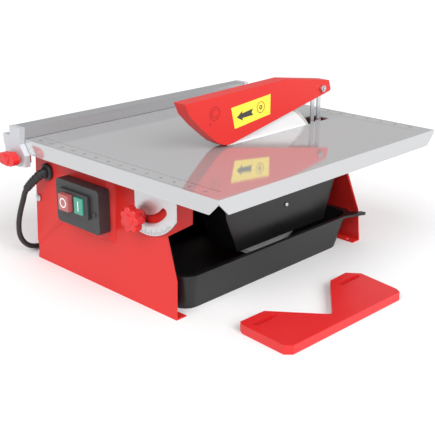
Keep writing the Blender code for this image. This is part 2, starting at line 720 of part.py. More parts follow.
def build_fence():
    left = FENCE_RIGHT - FENCE_WIDTH
    foot = TABLE_TOP + GAP
    outline = [
        (left, foot), (left, FENCE_TOP), (FENCE_RIGHT, FENCE_TOP), (FENCE_RIGHT, foot),
        (FENCE_RIGHT - 0.0055, foot), (FENCE_RIGHT - 0.0055, foot + 0.0015),
        (FENCE_RIGHT - 0.0018, foot + 0.0015), (FENCE_RIGHT - 0.0018, FENCE_TOP - 0.0018),
        (left + 0.0018, FENCE_TOP - 0.0018), (left + 0.0018, foot + 0.0015),
        (left + 0.0055, foot + 0.0015), (left + 0.0055, foot),
    ]
    half = TABLE_Y / 2
    piece("fence_rail", "fence_aluminium", [prism(outline, "Y", -half, half)], (FENCE_RIGHT, 0.0, TABLE_TOP))
    for label, side in (("front", -1), ("rear", 1)):
        build_fence_clamp(label, side)
        build_fence_knob(label, side)


def build_fence_clamp(label, side):
    """End bracket, inner jaw and bolt that grip the folded edge of the table."""
    outer = side * BRACKET_Y
    plate_y = sorted((outer, side * (TABLE_Y / 2 + GAP)))
    outline = [
        (-0.1585, 0.1690), (-0.1370, 0.1690), (-0.1400, 0.1500), (-0.1310, 0.1380), (-0.1310, 0.1250),
        (-0.1385, 0.1250), (-0.1400, 0.1275), (-0.1440, 0.1235), (-0.1560, 0.1235), (-0.1620, 0.1275),
        (-0.1660, 0.1255), (-0.1700, 0.1280), (-0.1700, 0.1450), (-0.1720, 0.1460), (-0.1720, 0.1580),
        (-0.1585, 0.1580),
    ]
    origin = (FENCE_KNOB_X, outer, FENCE_KNOB_Z)
    axis = (FENCE_KNOB_X, FENCE_KNOB_Z)
    bracket = piece("fence_bracket_" + label, "fence_aluminium", [prism(outline, "Y", *plate_y)], origin)
    cut(bracket, [cylinder("Y", axis, 0.0033, plate_y[0] - 0.002, plate_y[1] + 0.002, 16)], "hole")
    near = side * (TABLE_Y / 2 - TABLE_SHEET - GAP)
    jaw_y = sorted((near, near - side * 0.004))
    jaw_outline = [(-0.162, 0.127), (-0.138, 0.127), (-0.138, 0.148), (-0.162, 0.148)]
    jaw = piece("fence_jaw_" + label, "zinc_steel", [prism(jaw_outline, "Y", *jaw_y)], origin)
    cut(jaw, [cylinder("Y", axis, 0.0031, jaw_y[0] - 0.001, jaw_y[1] + 0.001, 16)], "hole")
    profile = [
        (near - side * 0.008, 0.0), (near - side * 0.008, 0.0050), (near - side * 0.0043, 0.0050),
        (near - side * 0.0043, 0.0028), (side * 0.1980, 0.0028), (side * 0.1980, 0.0),
    ]
    piece("fence_bolt_" + label, "zinc_steel", [turned("Y", axis, profile, 16)], origin, True)


# ---------------------------------------------------------------- guard


def guard_side():
    """Side view of the guard, in Y and Z, from the rear foot round over the top to the nose."""
    nose = [
        (-0.1070, 0.2115), (-0.1005, 0.1982), (-0.0862, 0.1840), (-0.0680, 0.1690), (-0.0590, 0.1622),
        (-0.0510, 0.1584), (-0.0435, 0.1572), (-0.0360, 0.1576), (-0.0280, 0.1590),
    ]
    return [(0.1335, 0.1905), (0.1360, 0.1925), (0.1320, 0.2040), (0.0510, 0.2160), *nose]


def build_guard():
    hinge = (TILT_X, GUARD_HINGE_Y, GUARD_HINGE_Z)
    outline = guard_side()
    count = len(outline)
    verts = []
    for x in (TILT_X - GUARD_WIDTH / 2, TILT_X + GUARD_WIDTH / 2):
        verts += [(x, y, z) for y, z in outline]
    faces = [tuple(range(count)), tuple(range(2 * count - 1, count - 1, -1))]
    for i in range(2, count - 2):
        faces.append((i, i + 1, count + i + 1, count + i))
    guard = piece("guard", "red_paint", [(verts, faces)], hinge)
    thicken(guard, GUARD_SHEET, (-1, 0, 0))
    hole = cylinder("X", (GUARD_HINGE_Y, GUARD_HINGE_Z), 0.0025, 0.020, 0.055, 16)
    cut(guard, [hole], "hinge_holes")

    face = TILT_X - GUARD_WIDTH / 2 - GAP
    far = TILT_X + GUARD_WIDTH / 2 + GAP
    centre = (GUARD_HINGE_Y, GUARD_HINGE_Z)
    head = [
        (face - 0.0024, 0.0), (face - 0.0024, 0.0024), (face - 0.0014, 0.0042), (face, 0.0044),
        (face, 0.0020), (far + 0.0045, 0.0020), (far + 0.0045, 0.0),
    ]
    piece("guard_bolt", "zinc_steel", [turned("X", centre, head, 16)], hinge, True)
    nut = piece("guard_nut", "zinc_steel", [prism(circle(centre, 0.0044, 6), "X", far, far + 0.0036)], hinge)
    cut(nut, [cylinder("X", centre, 0.0023, far - 0.002, far + 0.006, 16)], "bore")


# ---------------------------------------------------------------- switch


def build_switch():
    outline = rounded_rectangle((SWITCH_X[0], SWITCH_Z[0]), (SWITCH_X[1], SWITCH_Z[1]), 0.004, 4)
    back = -PAD_Y - GAP
    plate = piece("switch_plate", "black_plastic", [prism(outline, "Y", SWITCH_FRONT, back)])
    hole_low = (SWITCH_HOLE_X[0], SWITCH_FRONT - 0.01, SWITCH_HOLE_Z[0])
    hole_high = (SWITCH_HOLE_X[1], back + 0.01, SWITCH_HOLE_Z[1])
    cut(plate, [box(hole_low, hole_high)], "window")
    wall = 0.0025
    low_corner = (SWITCH_X[0] + wall, SWITCH_Z[0] + wall)
    high_corner = (SWITCH_X[1] - wall, SWITCH_Z[1] - wall)
    inner = rounded_rectangle(low_corner, high_corner, 0.002, 3)
    cut(plate, [prism(inner, "Y", SWITCH_FRONT + 0.003, back + 0.01)], "inside")
    screw_x = (-0.0870, -0.0245)
    screw_z = 0.0925
    holes = [cylinder("Y", (x, screw_z), 0.0019, SWITCH_FRONT - 0.01, back + 0.01, 12) for x in screw_x]
    cut(plate, holes, "screw_holes")
    for number, x in enumerate(screw_x, 1):
        name = "switch_screw_%d" % number
        screw(name, "black_plastic", "Y", (x, SWITCH_FRONT, screw_z), -1, 0.0026, 0.0012, 0.0016, 0.010)

    low_x, high_x = SWITCH_HOLE_X
    low_z, high_z = SWITCH_HOLE_Z
    rim = 0.0022
    lip = rounded_rectangle((low_x - rim, low_z - rim), (high_x + rim, high_z + rim), 0.002, 3)
    module = piece("switch_module", "black_plastic", [prism(lip, "Y", BEZEL_FRONT, SWITCH_FRONT - GAP)])
    body = box((low_x + GAP, BEZEL_FRONT + 0.001, low_z + GAP), (high_x - GAP, -0.146, high_z - GAP))
    add(module, [body], "body")
    wells = []
    wall = 0.0016
    spans = {"off": (low_x + 0.0040, low_x + 0.0220), "on": (low_x + 0.0265, high_x - 0.0045)}
    for label, (well_low, well_high) in spans.items():
        mouth = (well_low, BEZEL_FRONT - 0.01, low_z + wall)
        wells.append(box(mouth, (well_high, WELL_FLOOR, high_z - wall)))
    cut(module, wells, "wells")
    proud = {"off": 0.0060, "on": 0.0018}
    slots = {"off": "red_button", "on": "green_button"}
    for label, (well_low, well_high) in spans.items():
        gap = BUTTON_GAP
        front = BEZEL_FRONT - proud[label]
        low = (well_low + gap, front, low_z + wall + gap)
        high = (well_high - gap, WELL_FLOOR - BUTTON_TRAVEL - 0.001, high_z - wall - gap)
        button = piece(label + "_button", slots[label], [box(low, high)])
        middle = tuple((a + b) / 2 for a, b in zip(low, high))
        set_origin(button, (middle[0], front, middle[2]))


# ---------------------------------------------------------------- cord


def smooth_route(points, spacing):
    """A Catmull-Rom curve through the route's points, read at even steps."""
    route = [Vector(p) for p in points]
    ends = [2 * route[0] - route[1], *route, 2 * route[-1] - route[-2]]
    fine = []
    for a, b, c, d in zip(ends, ends[1:], ends[2:], ends[3:]):
        for i in range(24):
            t = i / 24
            fine.append(0.5 * ((2 * b) + (c - a) * t + (2 * a - 5 * b + 4 * c - d) * t ** 2
                               + (3 * b - a - 3 * c + d) * t ** 3))
    fine.append(route[-1])
    total = sum((q - p).length for p, q in zip(fine, fine[1:]))
    count = max(2, round(total / spacing))
    even, walked, target = [fine[0]], 0.0, total / count
    for p, q in zip(fine, fine[1:]):
        step = (q - p).length
        while walked + step >= target * len(even) and len(even) < count:
            share = (target * len(even) - walked) / step
            even.append(p.lerp(q, share))
        walked += step
    even.append(fine[-1])
    return even


def cord_tube(name, points):
    curve = bpy.data.curves.new(name, "CURVE")
    curve.dimensions = "3D"
    curve.bevel_depth = CORD_RADIUS
    curve.bevel_resolution = 2
    curve.use_fill_caps = True
    spline = curve.splines.new("POLY")
    route = smooth_route(points, 0.016)
    spline.points.add(len(route) - 1)
    for target, point in zip(spline.points, route):
        target.co = (*point, 1.0)
    curve.materials.append(MATERIALS["cord_rubber"])
    made = bpy.data.objects.new(name, curve)
    bpy.context.scene.collection.objects.link(made)
    return made


CORD_FLOOR = CORD_RADIUS + 0.0002


CORD_ROUTE = [
    (-0.1501, -0.1769, 0.0920), (-0.1568, -0.1776, 0.0780), (-0.1629, -0.1778, 0.0651),
    (-0.1681, -0.1776, 0.0530), (-0.1727, -0.1763, 0.0408), (-0.1769, -0.1732, 0.0288),
    (-0.1802, -0.1672, 0.0178), (-0.1826, -0.1581, 0.0090), (-0.1838, -0.1466, 0.0044),
    (-0.1848, -0.1341, CORD_FLOOR), (-0.1860, -0.1087, CORD_FLOOR), (-0.1869, -0.0833, CORD_FLOOR),
    (-0.1885, -0.0579, CORD_FLOOR), (-0.1904, -0.0326, CORD_FLOOR), (-0.1915, 0.0055, CORD_FLOOR),
]
TAIL_ROUTE = [
    (-0.1915, 0.0545, 0.0165), (-0.1914, 0.0660, 0.0160), (-0.1910, 0.0780, 0.0125),
    (-0.1903, 0.0900, 0.0077), (-0.1896, 0.1020, 0.0047), (-0.1891, 0.1140, 0.0052),
    (-0.1890, 0.1253, 0.0083),
]


def build_gland():
    """Collar in the front panel, and the tapered strain relief that leads the cord down and left."""
    centre = (GLAND_AT.x, GLAND_AT.z)
    face = GLAND_AT.y - GAP
    profile = [
        (GLAND_AT.y + 0.010, 0.0), (GLAND_AT.y + 0.010, 0.0060), (face, 0.0060),
        (face, 0.0095), (face - 0.0035, 0.0092), (face - 0.0045, 0.0070), (face - 0.0045, 0.0),
    ]
    gland = piece("cord_gland", "black_plastic", [turned("Y", centre, profile, 24)], smooth=True)
    start = GLAND_AT + Vector((0.0, -0.0048, 0.0))
    along = RELIEF_TIP - start
    move = Matrix.Translation(start) @ along.to_track_quat("Z", "Y").to_matrix().to_4x4()
    rings = []
    for share, radius in ((0.0, 0.0058), (0.15, 0.0060), (0.3, 0.0056), (1.0, 0.0042)):
        outline = circle((0.0, 0.0), radius, 16)
        rings.append([tuple(move @ Vector((x, y, share * along.length))) for x, y in outline])
    add(gland, [loft(rings)], "relief")


def build_cord():
    cord_tube("power_cord", CORD_ROUTE)
    inner = COIL_RADII[0] - CORD_RADIUS - 0.0002
    outer = COIL_RADII[1] + CORD_RADIUS + 0.0002
    height = COIL_LAYERS * CORD_DIAMETER + 0.0004
    piece("cord_coil", "cord_rubber", [ring("Z", COIL_CENTRE, inner, outer, 0.0, height, 40)], smooth=True)
    cord_tube("cord_tail", TAIL_ROUTE)


# ---------------------------------------------------------------- tray and corner guide


def tray_ring(z, x_span, y_span, radius):
    outline = rounded_rectangle((x_span[0], y_span[0]), (x_span[1], y_span[1]), radius, 5)
    return [(x, y, z) for x, y in outline]


def build_tray():
    wall = TRAY_WALL
    rings = [
        tray_ring(0.0, (-0.1180, 0.0750), (-0.1380, 0.1290), 0.016),
        tray_ring(0.0360, (-0.1200, 0.0790), (-0.1410, 0.1440), 0.017),
        tray_ring(0.0365, (-0.1220, 0.0820), (-0.1440, 0.1510), 0.019),
        tray_ring(TRAY_HEIGHT, (-0.1222, 0.0824), (-0.1442, 0.1514), 0.019),
        tray_ring(TRAY_HEIGHT, (-0.1200 + wall, 0.0790 - wall), (-0.1410 + wall, 0.1455 - wall), 0.016),
        tray_ring(wall, (-0.1180 + wall, 0.0750 - wall), (-0.1380 + wall, 0.1290 - wall), 0.015),
    ]
    tray = piece("water_tray", "tray_plastic", [loft(rings)], (0.0, 0.0, 0.0), True)
    spout = [(0.0800, 0.1220), (0.0930, 0.1560), (0.0912, 0.1590), (0.0855, 0.1580), (0.0760, 0.1480)]
    add(tray, [prism(spout, "Z", 0.0372, TRAY_HEIGHT - 0.0002)], "spout")


def build_corner_guide():
    """Loose guide with a right-angled notch, lying beside the machine."""
    outline = [
        (0.1450, -0.1290), (0.1460, -0.0940), (0.1975, -0.0535), (0.1998, -0.0500), (0.1975, -0.0465),
        (0.1480, 0.0145), (0.1470, 0.0440), (0.1610, 0.0550), (0.2130, 0.0475), (0.2200, 0.0430),
        (0.2155, -0.1300), (0.2090, -0.1365), (0.1520, -0.1330),
    ]
    origin = (0.180, -0.040, 0.0)
    guide = piece("corner_guide", "red_plastic", [prism(outline, "Z", 0.0, GUIDE_THICKNESS)], origin)
    slots = []
    for x, low, high in ((0.1600, -0.1250, -0.0920), (0.1620, 0.0130, 0.0480)):
        slot = arc((x, high - 0.0035), 0.0035, 0, 180, 5) + arc((x, low + 0.0035), 0.0035, 180, 360, 5)
        slots.append(prism(slot, "Z", -0.002, GUIDE_THICKNESS + 0.002))
    cut(guide, slots, "slots")


# ---------------------------------------------------------------- plug


def build_plug():
    """Two-pin mains plug lying on the bench, its cable end down and its pins away from the coil."""
    move = Matrix.Translation(PLUG_AT) @ Matrix.Rotation(PLUG_TILT - math.pi / 2, 4, "X")

    def laid(profile, x=0.0, count=28):
        verts, faces = turned("Z", (x, 0.0), profile, count)
        return [tuple(move @ Vector(v)) for v in verts], faces

    body = [
        (0.0, 0.0), (0.0, 0.0045), (0.016, 0.0068), (0.020, 0.0115),
        (0.036, 0.0180), (PLUG_LENGTH, 0.0190), (PLUG_LENGTH, 0.0),
    ]
    plug = piece("plug", "black_plastic", [laid(body)], smooth=True)
    pin = [
        (PLUG_LENGTH - 0.004, 0.0), (PLUG_LENGTH - 0.004, 0.0024), (PLUG_LENGTH + 0.0175, 0.0024),
        (PLUG_LENGTH + 0.0190, 0.0015), (PLUG_LENGTH + 0.0190, 0.0),
    ]
    add(plug, [laid(pin, x, 14) for x in (-0.0095, 0.0095)], "pins")


# ---------------------------------------------------------------- build

for old in list(bpy.data.objects):
    bpy.data.objects.remove(old, do_unlink=True)

MATERIALS = {name: finish(name, *values) for name, values in COLOURS.items()}

build_panels()
build_left_panel()
build_motor_bridge()
build_motor()
build_arbor()
build_blade_housing()
build_riving_knife()
build_tilt_hardware()
build_table()
for panel_label, panel_side in (("front", -1), ("rear", 1)):
    build_quadrant(panel_label, panel_side)
    build_tilt_knob(panel_label, panel_side)
build_fence()
build_guard()
build_switch()
build_gland()
build_cord()
build_plug()
build_tray()
build_corner_guide()
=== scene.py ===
"""Looks for the tile cutter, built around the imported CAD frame. Metres, +Z up."""

import json
import math

import bmesh
import bpy
from mathutils import Matrix, Vector


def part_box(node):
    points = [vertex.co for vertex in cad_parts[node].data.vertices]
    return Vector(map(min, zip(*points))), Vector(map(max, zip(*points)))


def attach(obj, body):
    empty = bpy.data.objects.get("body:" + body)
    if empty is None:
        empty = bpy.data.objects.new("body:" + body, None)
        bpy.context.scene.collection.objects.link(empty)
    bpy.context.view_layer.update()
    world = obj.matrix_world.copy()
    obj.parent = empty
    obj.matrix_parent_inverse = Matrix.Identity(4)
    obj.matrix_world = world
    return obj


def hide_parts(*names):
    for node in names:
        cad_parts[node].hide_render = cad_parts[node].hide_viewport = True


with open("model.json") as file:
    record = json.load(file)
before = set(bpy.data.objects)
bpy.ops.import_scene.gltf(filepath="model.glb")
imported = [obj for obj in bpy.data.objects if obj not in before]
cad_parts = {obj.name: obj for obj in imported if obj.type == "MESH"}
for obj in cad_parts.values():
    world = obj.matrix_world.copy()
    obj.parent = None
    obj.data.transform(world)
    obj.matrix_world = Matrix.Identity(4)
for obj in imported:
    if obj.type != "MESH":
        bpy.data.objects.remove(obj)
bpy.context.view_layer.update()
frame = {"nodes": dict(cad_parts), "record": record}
NODES = frame["nodes"]
BODY_OF = {n: body for body, members in frame["record"]["behaviour"]["bodies"].items() for n in members}

BLADE_X = 0.037         # the blade's plane and the tilt axis
BLADE_Y = 0.034         # the arbor's axis
BLADE_Z = 0.098
RIM_RADIUS = 0.0862     # inner edge of the blade's gritty rim
TILT_Z = 0.138
RULE_NEAR = 0.1610      # the printed rule's band, from the table's middle to its front and rear
RULE_FAR = 0.1770

# ---------------------------------------------------------------- camera, lights, floor

SUN_ANGLE = 38          # degrees: how wide each lamp looks, so how soft its shadows are
SUN_DISTANCE = 2.0
SKY_ON_OBJECT = 0.50    # the background's strength as light
SKY_IN_VIEW = 1.0       # and as seen by the camera
FLOOR_HALF = 4.0


def build_camera():
    data = bpy.data.cameras.new("camera")
    data.lens = 71.41
    data.sensor_width = 36.0
    data.clip_start = 0.01
    data.clip_end = 50.0
    camera = bpy.data.objects.new("camera", data)
    camera.location = (0.6730, -0.6994, 0.4028)
    camera.rotation_euler = (math.radians(70.049), 0.0, math.radians(44.454))
    bpy.context.scene.collection.objects.link(camera)
    bpy.context.scene.camera = camera


def lamp(name, towards, power):
    """A broad, soft light from far away; towards points from the object to it."""
    data = bpy.data.lights.new(name, "SUN")
    data.energy = power
    data.angle = math.radians(SUN_ANGLE)
    made = bpy.data.objects.new(name, data)
    made.location = Vector(towards) * SUN_DISTANCE
    made.rotation_euler = Vector(towards).to_track_quat("Z", "Y").to_euler()
    bpy.context.scene.collection.objects.link(made)


def build_studio():
    world = bpy.data.worlds.new("studio")
    world.use_nodes = True
    tree = world.node_tree
    backdrop = tree.nodes["Background"]
    backdrop.inputs["Color"].default_value = (1.0, 1.0, 1.0, 1.0)
    rays = tree.nodes.new("ShaderNodeLightPath")
    strength = tree.nodes.new("ShaderNodeMapRange")
    strength.inputs["To Min"].default_value = SKY_ON_OBJECT
    strength.inputs["To Max"].default_value = SKY_IN_VIEW
    tree.links.new(rays.outputs["Is Camera Ray"], strength.inputs["Value"])
    tree.links.new(strength.outputs[0], backdrop.inputs["Strength"])
    bpy.context.scene.world = world
    bpy.context.scene.view_settings.view_transform = "Standard"
    lamp("key", (0.20, -0.72, 0.66), 1.7)
    lamp("side", (0.80, -0.12, 0.58), 2.5)

    data = bpy.data.meshes.new("floor")
    corners = [(x * FLOOR_HALF, y * FLOOR_HALF, 0.0) for x, y in ((-1, -1), (1, -1), (1, 1), (-1, 1))]
    data.from_pydata(corners, [], [(0, 1, 2, 3)])
    floor = bpy.data.objects.new("floor", data)
    bpy.context.scene.collection.objects.link(floor)
    look = Look("floor_paper", (0.84, 0.84, 0.84), 0.9)
    look.vary(12.0, 0.02)
    data.materials.append(look.material)


# ---------------------------------------------------------------- materials


class Look:
    """A procedural material, built up in steps on one Principled shader."""

    def __init__(self, name, colour, roughness, metallic=0.0, **sockets):
        self.material = bpy.data.materials.new(name)
        self.material.use_nodes = True
        self.tree = self.material.node_tree
        self.shader = self.tree.nodes["Principled BSDF"]
        self.colour = (*colour, 1.0)
        self.roughness = roughness
        self.shader.inputs["Base Color"].default_value = self.colour
        self.shader.inputs["Roughness"].default_value = roughness
        self.shader.inputs["Metallic"].default_value = metallic
        for socket, value in sockets.items():
            self.shader.inputs[socket.replace("_", " ")].default_value = value
        self.place = self.add("ShaderNodeTexCoord").outputs["Object"]
        split = self.add("ShaderNodeSeparateXYZ", [self.place])
        self.x, self.y, self.z = split.outputs
        self.tint = None
        self.normal = None

    def add(self, kind, inputs=(), **settings):
        made = self.tree.nodes.new(kind)
        for key, value in settings.items():
            setattr(made, key, value)
        for target, value in zip(made.inputs, inputs):
            self.feed(target, value)
        return made

    def feed(self, target, value):
        if isinstance(value, bpy.types.NodeSocket):
            self.tree.links.new(value, target)
        elif value is not None:
            target.default_value = value

    def math(self, operation, *values):
        return self.add("ShaderNodeMath", values, operation=operation).outputs[0]

    def length(self, a, b):
        """Distance from the point where a and b are 0."""
        squares = self.math("ADD", self.math("MULTIPLY", a, a), self.math("MULTIPLY", b, b))
        return self.math("SQRT", squares)

    def inside(self, value, low, high):
        """1 where value is between low and high."""
        above = self.math("GREATER_THAN", value, low)
        return self.math("MULTIPLY", above, self.math("LESS_THAN", value, high))

    def noise(self, scale, detail=3.0, stretch=(1.0, 1.0, 1.0)):
        mapping = self.add("ShaderNodeMapping", [self.place])
        mapping.inputs["Scale"].default_value = stretch
        made = self.add("ShaderNodeTexNoise")
        self.feed(made.inputs["Vector"], mapping.outputs[0])
        made.inputs["Scale"].default_value = scale
        made.inputs["Detail"].default_value = detail
        return made.outputs[0]

    def cells(self, scale):
        """Distance to the nearest of many scattered points."""
        made = self.add("ShaderNodeTexVoronoi")
        self.feed(made.inputs["Vector"], self.place)
        made.inputs["Scale"].default_value = scale
        return made.outputs["Distance"]

    def spread(self, value, low, high):
        """value, from 0 to 1, stretched to low and high."""
        made = self.add("ShaderNodeMapRange")
        self.feed(made.inputs["Value"], value)
        made.inputs["To Min"].default_value = low
        made.inputs["To Max"].default_value = high
        return made.outputs[0]

    def paint(self, mask, colour):
        """Puts colour over what is there where mask is 1."""
        made = self.add("ShaderNodeMix", data_type="RGBA")
        self.feed(made.inputs[0], mask)
        self.feed(made.inputs[6], self.tint if self.tint else self.colour)
        self.feed(made.inputs[7], colour if isinstance(colour, bpy.types.NodeSocket) else (*colour, 1.0))
        self.tint = made.outputs[2]
        self.feed(self.shader.inputs["Base Color"], self.tint)

    def vary(self, scale, amount, stretch=(1.0, 1.0, 1.0)):
        """Lighter and darker patches."""
        factor = self.noise(scale, 3.0, stretch)
        made = self.add("ShaderNodeHueSaturation")
        self.feed(made.inputs["Value"], self.spread(factor, 1.0 - amount, 1.0 + amount))
        self.feed(made.inputs["Color"], self.tint if self.tint else self.colour)
        self.tint = made.outputs[0]
        self.feed(self.shader.inputs["Base Color"], self.tint)

    def gloss(self, scale, amount, stretch=(1.0, 1.0, 1.0)):
        """Rougher and smoother patches."""
        factor = self.noise(scale, 4.0, stretch)
        low, high = self.roughness - amount, self.roughness + amount
        self.feed(self.shader.inputs["Roughness"], self.spread(factor, low, high))

    def bump(self, height, distance):
        """Raises and sinks the surface by up to distance. Each call adds to the ones before."""
        made = self.add("ShaderNodeBump")
        made.inputs["Strength"].default_value = 1.0
        made.inputs["Distance"].default_value = distance
        self.feed(made.inputs["Height"], height)
        if self.normal:
            self.feed(made.inputs["Normal"], self.normal)
        self.normal = made.outputs[0]
        self.feed(self.shader.inputs["Normal"], self.normal)


def red_paint():
    look = Look("red_paint", (0.64, 0.022, 0.018), 0.42, Coat_Weight=0.08, Coat_Roughness=0.30,
                Specular_IOR_Level=0.35)
    look.vary(9.0, 0.035)
    look.gloss(60.0, 0.05)
    look.bump(look.noise(1400.0, 2.0), 0.00004)
    return look.material


def red_plastic():
    look = Look("red_plastic", (0.66, 0.016, 0.018), 0.34)
    look.vary(30.0, 0.03)
    look.gloss(90.0, 0.06)
    look.bump(look.noise(900.0, 3.0), 0.00003)
    return look.material


def table_steel():
    """Polished sheet with a fine grain along the blade, and a printed rule near the front and rear edges."""
    look = Look("table_steel", (0.54, 0.545, 0.555), 0.07, 0.50, Specular_IOR_Level=0.8)
    look.vary(5.0, 0.03)
    look.vary(900.0, 0.02, (1.0, 0.02, 1.0))
    look.gloss(30.0, 0.02, (1.0, 0.15, 1.0))
    look.bump(look.noise(1500.0, 2.0, (1.0, 0.02, 1.0)), 0.000004)
    away = look.math("ABSOLUTE", look.y)
    top = look.math("GREATER_THAN", look.z, 0.1545)
    printed = look.math("MULTIPLY", look.inside(look.x, -0.1300, 0.1500), top)
    band = look.math("MULTIPLY", look.inside(away, RULE_NEAR, RULE_FAR), printed)
    look.paint(look.math("MULTIPLY", band, 0.6), (0.56, 0.56, 0.57))
    line = 0.0004
    edge_near = look.inside(away, RULE_NEAR - line, RULE_NEAR)
    edge_far = look.inside(away, RULE_FAR, RULE_FAR + line)
    edges = look.math("MULTIPLY", look.math("ADD", edge_near, edge_far), printed)
    look.paint(edges, (0.14, 0.14, 0.15))
    from_blade = look.math("SUBTRACT", look.x, BLADE_X)
    half_tick = 0.00022
    for step, length, dark in ((0.005, 0.0022, 0.16), (0.010, 0.0036, 0.10)):
        tick = look.math("LESS_THAN", look.math("PINGPONG", from_blade, step / 2), half_tick)
        reach = look.inside(away, RULE_NEAR, RULE_NEAR + length)
        mask = look.math("MULTIPLY", look.math("MULTIPLY", tick, reach), printed)
        look.paint(mask, (dark, dark, dark))
    return look.material


def zinc_steel():
    look = Look("zinc_steel", (0.62, 0.63, 0.65), 0.30, 1.0)
    distance = look.cells(240.0)
    look.vary(260.0, 0.05)
    look.gloss(180.0, 0.07)
    look.bump(look.noise(700.0, 3.0), 0.00002)
    look.bump(distance, 0.00001)
    return look.material


def quadrant_steel():
    """Zinc sheet with engraved degree marks round the tilt axis."""
    look = Look("quadrant_steel", (0.66, 0.67, 0.69), 0.34, 0.85)
    look.vary(120.0, 0.05)
    look.gloss(150.0, 0.06)
    look.bump(look.noise(700.0, 3.0), 0.00002)
    across = look.math("SUBTRACT", look.x, BLADE_X)
    down = look.math("SUBTRACT", look.z, TILT_Z)
    away = look.length(across, down)
    angle = look.math("ARCTAN2", across, look.math("MULTIPLY", down, -1.0))
    span = look.inside(angle, math.radians(-11.5), math.radians(47.0))
    half_tick, scale_radius = 0.0045, 0.0550
    for degrees, low in ((2.5, 0.0520), (10.0, 0.0495)):
        tick = look.math("LESS_THAN", look.math("PINGPONG", angle, math.radians(degrees) / 2), half_tick)
        mask = look.math("MULTIPLY", look.math("MULTIPLY", tick, look.inside(away, low, scale_radius)), span)
        look.paint(mask, (0.05, 0.05, 0.055))
    return look.material


def fence_aluminium():
    """Extruded profile: drawing lines run along it."""
    look = Look("fence_aluminium", (0.40, 0.405, 0.415), 0.40, 0.55)
    look.vary(700.0, 0.05, (1.0, 0.01, 1.0))
    look.gloss(60.0, 0.05, (1.0, 0.1, 1.0))
    look.bump(look.noise(1400.0, 2.0, (1.0, 0.01, 1.0)), 0.000012)
    return look.material


def bracket_grey():
    """Cast end piece, pale grey, with a fine texture."""
    look = Look("bracket_grey", (0.55, 0.57, 0.60), 0.42, 0.35)
    look.vary(80.0, 0.05)
    look.gloss(120.0, 0.06)
    look.bump(look.noise(900.0, 4.0), 0.00006)
    return look.material


def blade_steel():
    """Ground steel with its grinding marks round the arbor, and a gritty diamond rim."""
    look = Look("blade_steel", (0.88, 0.88, 0.89), 0.30, 0.20)
    across = look.math("SUBTRACT", look.y, BLADE_Y)
    up = look.math("SUBTRACT", look.z, BLADE_Z)
    away = look.length(across, up)
    rings = look.add("ShaderNodeTexNoise", noise_dimensions="1D")
    look.feed(rings.inputs["W"], away)
    rings.inputs["Scale"].default_value = 4000.0
    look.vary(20.0, 0.04)
    look.gloss(70.0, 0.05)
    look.bump(rings.outputs[0], 0.000006)
    rim = look.math("GREATER_THAN", away, RIM_RADIUS)
    distance = look.cells(1500.0)
    grit = look.add("ShaderNodeHueSaturation")
    look.feed(grit.inputs["Value"], look.spread(distance, 0.65, 1.5))
    grit.inputs["Color"].default_value = (0.52, 0.51, 0.49, 1.0)
    look.paint(rim, grit.outputs[0])
    look.bump(look.math("MULTIPLY", rim, distance), 0.00008)
    return look.material


def ground_steel():
    look = Look("ground_steel", (0.70, 0.71, 0.73), 0.24, 1.0)
    look.vary(700.0, 0.05, (1.0, 1.0, 0.03))
    look.gloss(80.0, 0.06, (1.0, 1.0, 0.2))
    look.bump(look.noise(1500.0, 2.0, (1.0, 1.0, 0.03)), 0.000008)
    return look.material


def black_plastic():
    look = Look("black_plastic", (0.030, 0.031, 0.033), 0.45)
    distance = look.cells(1100.0)
    look.vary(25.0, 0.10)
    look.gloss(90.0, 0.06)
    look.bump(distance, 0.00008)
    return look.material


def tray_plastic():
    look = Look("tray_plastic", (0.010, 0.010, 0.011), 0.30)
    look.vary(12.0, 0.18, (1.0, 1.0, 0.3))
    look.gloss(20.0, 0.07)
    look.bump(look.noise(40.0, 3.0), 0.00012)
    look.bump(look.noise(1300.0, 2.0), 0.00002)
    return look.material


def cord_rubber():
    look = Look("cord_rubber", (0.014, 0.014, 0.015), 0.48)
    look.vary(60.0, 0.15)
    look.gloss(140.0, 0.08)
    look.bump(look.noise(900.0, 3.0), 0.00005)
    return look.material


def button(name, colour):
    look = Look(name, colour, 0.22, Coat_Weight=0.4, Coat_Roughness=0.1)
    look.vary(60.0, 0.06)
    look.gloss(120.0, 0.05)
    look.bump(look.noise(600.0, 2.0), 0.00002)
    return look.material


def motor_paint():
    look = Look("motor_paint", (0.055, 0.056, 0.060), 0.40, 0.2)
    look.vary(60.0, 0.12)
    look.gloss(90.0, 0.07)
    look.bump(look.noise(700.0, 4.0), 0.00008)
    return look.material


def copper_winding():
    look = Look("copper_winding", (0.60, 0.24, 0.10), 0.35, 0.8)
    look.vary(500.0, 0.15, (0.05, 1.0, 1.0))
    look.bump(look.noise(1500.0, 2.0, (0.05, 1.0, 1.0)), 0.0001)
    return look.material


def capacitor_white():
    look = Look("capacitor_white", (0.72, 0.72, 0.70), 0.35)
    look.vary(60.0, 0.04)
    look.bump(look.noise(500.0, 3.0), 0.00003)
    return look.material


def ink(name, colour):
    """Printed film for stickers and marks, and the flat darker red used as painted shade on the guard's moulded
    marks.
    """
    look = Look(name, colour, 0.4)
    look.vary(120.0, 0.04)
    look.gloss(200.0, 0.05)
    look.bump(look.noise(500.0, 2.0), 0.00001)
    return look.material


# ---------------------------------------------------------------- finer meshes for the CAD nodes

BEVEL_SEGMENTS = 2
BEVEL_ANGLE = 28        # degrees between faces above which an edge is rounded
SHARP_ANGLE = 32        # degrees between faces above which an edge stays sharp in the shading
SAME_PLANE = 0.6        # degrees within which neighbouring faces count as one flat face
WELD = 1e-6


